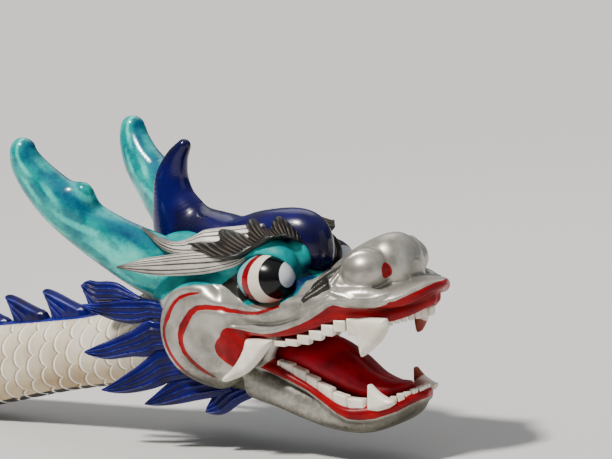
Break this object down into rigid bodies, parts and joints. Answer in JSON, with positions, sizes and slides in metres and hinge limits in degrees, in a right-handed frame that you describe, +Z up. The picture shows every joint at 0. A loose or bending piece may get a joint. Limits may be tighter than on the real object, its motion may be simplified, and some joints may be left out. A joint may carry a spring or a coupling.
{
  "type": "dragon boat figurehead",
  "caption": "Carved and painted wooden dragon's head with horns, crest, mane fins and open jaws on a scaled neck, bolted to the bow of a dragon boat",
  "frame": {"origin": "middle of the flat butt face at the rear end of the neck, where the figurehead is bolted to the bow", "axes": "+X forward along the neck to the lip's tip, +Z up, -Y the head's right side"},
  "size_m": [1.217, 0.3718, 0.5884],
  "materials": {
    "silver": "silver paint over carved wood, semi-gloss",
    "turquoise": "pearly turquoise paint, glossy",
    "crest_blue": "dark blue paint, glossy",
    "mane_blue": "blue paint with pale ridges, semi-gloss",
    "brow_black": "black paint rubbed through to grey, semi-gloss",
    "red": "red paint, glossy",
    "ivory": "off-white paint, glossy",
    "eye_white": "white, red and black paint, glossy",
    "neck_white": "cream paint over carved scales, satin",
    "bare_wood": "bare wood, matt"
  },
  "bodies": {
    "root": {"seat_block": "bare_wood", "neck": "neck_white", "skull": "silver", "upper_jaw": "silver", "lower_jaw": "silver", "tongue": "red", "crest": "crest_blue", "upper_front_teeth": "ivory", "lower_front_teeth": "ivory", "dorsal_fin_1": "mane_blue", "dorsal_fin_2": "mane_blue", "dorsal_fin_3": "mane_blue", "dorsal_fin_4": "mane_blue", "eye_right": "eye_white", "eye_left": "eye_white", "rear_tusk_right": "ivory", "rear_tusk_left": "ivory", "upper_fang_right": "ivory", "upper_fang_left": "ivory", "lower_fang_right": "ivory", "lower_fang_left": "ivory", "brow_right": "brow_black", "brow_left": "brow_black", "horn_right": "turquoise", "horn_left": "turquoise", "hair_lock_upper_right": "silver", "hair_lock_upper_left": "silver", "hair_lock_lower_right": "silver", "hair_lock_lower_left": "silver", "nostril_right": "silver", "nostril_left": "silver", "mouth_corner_right": "red", "mouth_corner_left": "red", "cheek_right": "silver", "cheek_left": "silver", "upper_lip_right": "silver", "upper_lip_left": "silver", "upper_tooth_row_right": "red", "upper_tooth_row_left": "red", "lower_tooth_row_right": "red", "lower_tooth_row_left": "red", "eye_socket_right": "turquoise", "eye_socket_left": "turquoise", "mane_fin_1_right": "mane_blue", "mane_fin_1_left": "mane_blue", "mane_fin_2_right": "mane_blue", "mane_fin_2_left": "mane_blue", "mane_fin_3_right": "mane_blue", "mane_fin_3_left": "mane_blue", "mane_fin_4_right": "mane_blue", "mane_fin_4_left": "mane_blue", "mane_fin_5_right": "mane_blue", "mane_fin_5_left": "mane_blue", "mane_fin_6_right": "mane_blue", "mane_fin_6_left": "mane_blue"}
  },
  "joints": []
}
